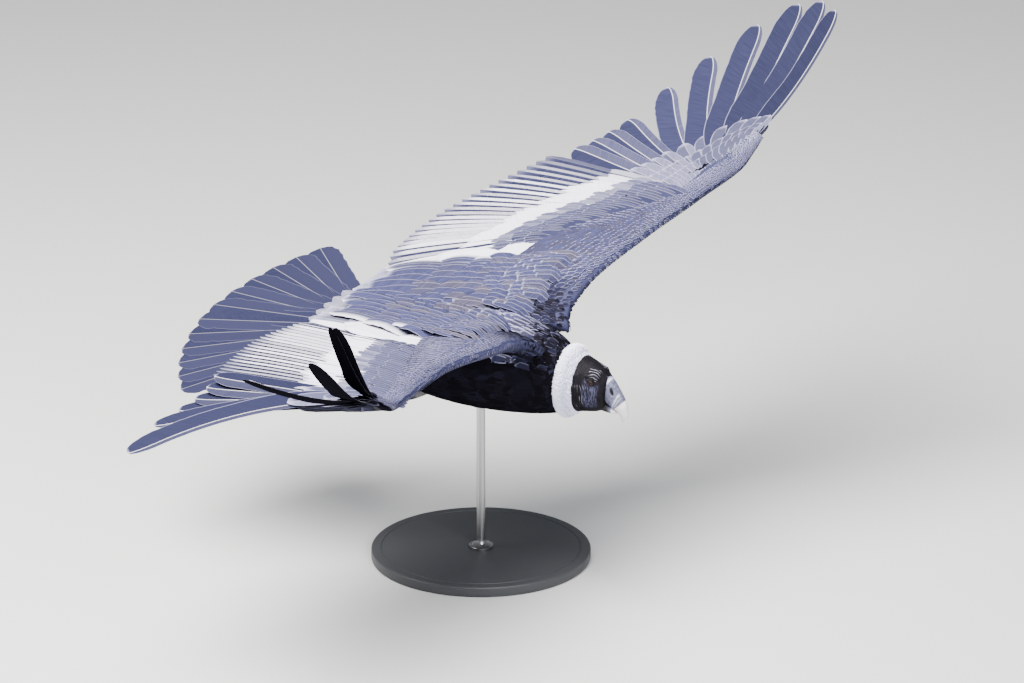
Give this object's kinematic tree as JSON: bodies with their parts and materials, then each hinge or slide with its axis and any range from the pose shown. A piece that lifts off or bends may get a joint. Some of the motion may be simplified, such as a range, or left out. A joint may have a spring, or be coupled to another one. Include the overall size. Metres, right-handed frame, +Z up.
{
  "type": "andean condor in flight on a display stand",
  "caption": "Life-size adult female Andean condor gliding with spread, fingered wings and fanned tail, held by one rod on a round base.",
  "frame": {"origin": "middle of the flat underside of the stand's base", "axes": "+Z up, the bird faces -Y and its left wing points towards +X, which is the model's longest extent"},
  "size_m": [2.487, 1.1245, 1.0452],
  "materials": {
    "bare_skin": "wrinkled dark grey bare skin with pale folds",
    "bill_horn": "horn, grey cere running to an ivory hook",
    "eye": "wet dark red iris and black pupil",
    "white_down": "soft white down",
    "dark_plumage": "blackish contour feathers, slight sheen",
    "grey_plumage": "slate grey vanes with pale fringes, white bands and pale shafts",
    "foot_skin": "dark grey scaled skin",
    "stand_paint": "satin charcoal paint",
    "stand_steel": "brushed steel"
  },
  "bodies": {
    "root": {"head": "bare_skin", "bill_upper": "bill_horn", "bill_lower": "bill_horn", "eye_left": "eye", "eye_right": "eye", "neck": "white_down", "torso": "dark_plumage", "tail": "grey_plumage", "wing_left_arm": "grey_plumage", "wing_left_hand": "grey_plumage", "wing_left_tip": "grey_plumage", "wing_right_arm": "grey_plumage", "wing_right_hand": "grey_plumage", "wing_right_tip": "grey_plumage", "leg_left": "foot_skin", "leg_right": "foot_skin", "stand_base": "stand_paint", "stand_rod": "stand_steel"}
  },
  "joints": []
}
